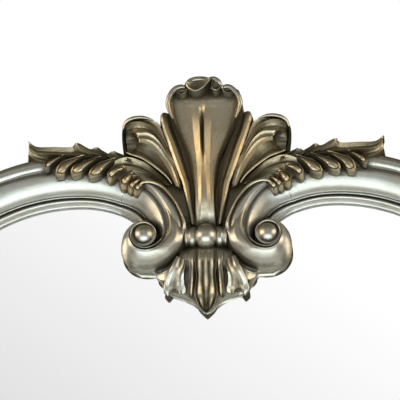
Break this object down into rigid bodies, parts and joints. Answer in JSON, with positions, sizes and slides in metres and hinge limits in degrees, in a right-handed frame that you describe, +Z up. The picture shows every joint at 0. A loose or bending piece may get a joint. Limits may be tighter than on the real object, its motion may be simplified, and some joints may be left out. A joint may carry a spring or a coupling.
{
  "type": "floor mirror",
  "caption": "Arched standing mirror with a champagne silver-leaf moulded frame, a carved shell, scroll and acanthus crest, and a folding rear prop.",
  "frame": {"origin": "on the floor, under the middle of the mirror's footprint, from the front of the frame to the back of the prop", "axes": "+Z up, +Y towards the back where the prop stands, +X to the right as one looks at the glass"},
  "size_m": [0.9, 0.4138, 1.7883],
  "materials": {
    "silver_leaf_rail": "gessoed wood moulding in burnished champagne silver leaf, toned darker in the coves",
    "silver_leaf_carving": "carved wood in champagne silver leaf with a brown antiquing glaze in the hollows",
    "mirror": "silvered float glass, flat, plain edge",
    "felt": "black felt strip",
    "backing": "brown hardboard",
    "hardwood": "planed beech with a thin clear lacquer",
    "rubber": "matt black moulded rubber",
    "zinc_steel": "zinc-plated pressed steel",
    "screw_steel": "zinc-plated steel fasteners"
  },
  "bodies": {
    "mirror_frame": {"backing_board": "backing", "batten_screws": "screw_steel", "bottom_rail": "silver_leaf_rail", "bracket_screws": "screw_steel", "centre_boss": "silver_leaf_carving", "clip_screws": "screw_steel", "collar_left": "silver_leaf_carving", "collar_right": "silver_leaf_carving", "crest_board": "silver_leaf_carving", "felt_strip": "felt", "floor_foot_left": "rubber", "floor_foot_right": "rubber", "glazing_clips": "zinc_steel", "joint_plates": "zinc_steel", "leaf_spray_left": "silver_leaf_carving", "leaf_spray_right": "silver_leaf_carving", "lower_batten": "hardwood", "lower_leaf_left": "silver_leaf_carving", "lower_leaf_right": "silver_leaf_carving", "mirror_glass": "mirror", "pendant_centre": "silver_leaf_carving", "pendant_curl_left": "silver_leaf_carving", "pendant_curl_right": "silver_leaf_carving", "pendant_inner_left": "silver_leaf_carving", "pendant_inner_right": "silver_leaf_carving", "pendant_outer_left": "silver_leaf_carving", "pendant_outer_right": "silver_leaf_carving", "pivot_bolts": "screw_steel", "pivot_nuts": "screw_steel", "plate_screws": "screw_steel", "prop_batten": "hardwood", "prop_bracket_left": "zinc_steel", "prop_bracket_right": "zinc_steel", "scroll_eye_left": "silver_leaf_carving", "scroll_eye_right": "silver_leaf_carving", "scroll_left": "silver_leaf_carving", "scroll_right": "silver_leaf_carving", "shell_centre": "silver_leaf_carving", "shell_flute_left": "silver_leaf_carving", "shell_flute_right": "silver_leaf_carving", "shell_roll_middle_left": "silver_leaf_carving", "shell_roll_middle_right": "silver_leaf_carving", "shell_roll_outer_left": "silver_leaf_carving", "shell_roll_outer_right": "silver_leaf_carving", "shoulder_dowels": "hardwood", "side_leaf_left": "silver_leaf_carving", "side_leaf_right": "silver_leaf_carving", "stile_left": "silver_leaf_rail", "stile_right": "silver_leaf_rail", "top_rail_left": "silver_leaf_rail", "top_rail_right": "silver_leaf_rail", "wall_bumpers": "rubber"},
    "prop": {"prop_leg_left": "hardwood", "prop_leg_right": "hardwood", "prop_rung_bottom": "hardwood", "prop_rung_middle": "hardwood", "prop_rung_top": "hardwood", "prop_tip_left": "rubber", "prop_tip_right": "rubber"}
  },
  "joints": [
    {"name": "prop_fold", "type": "hinge", "parent": "mirror_frame", "child": "prop", "pos_m": [0, 0.03423, 1.13213], "axis": [-1, 0, 0], "range_deg": [0, 16]}
  ]
}
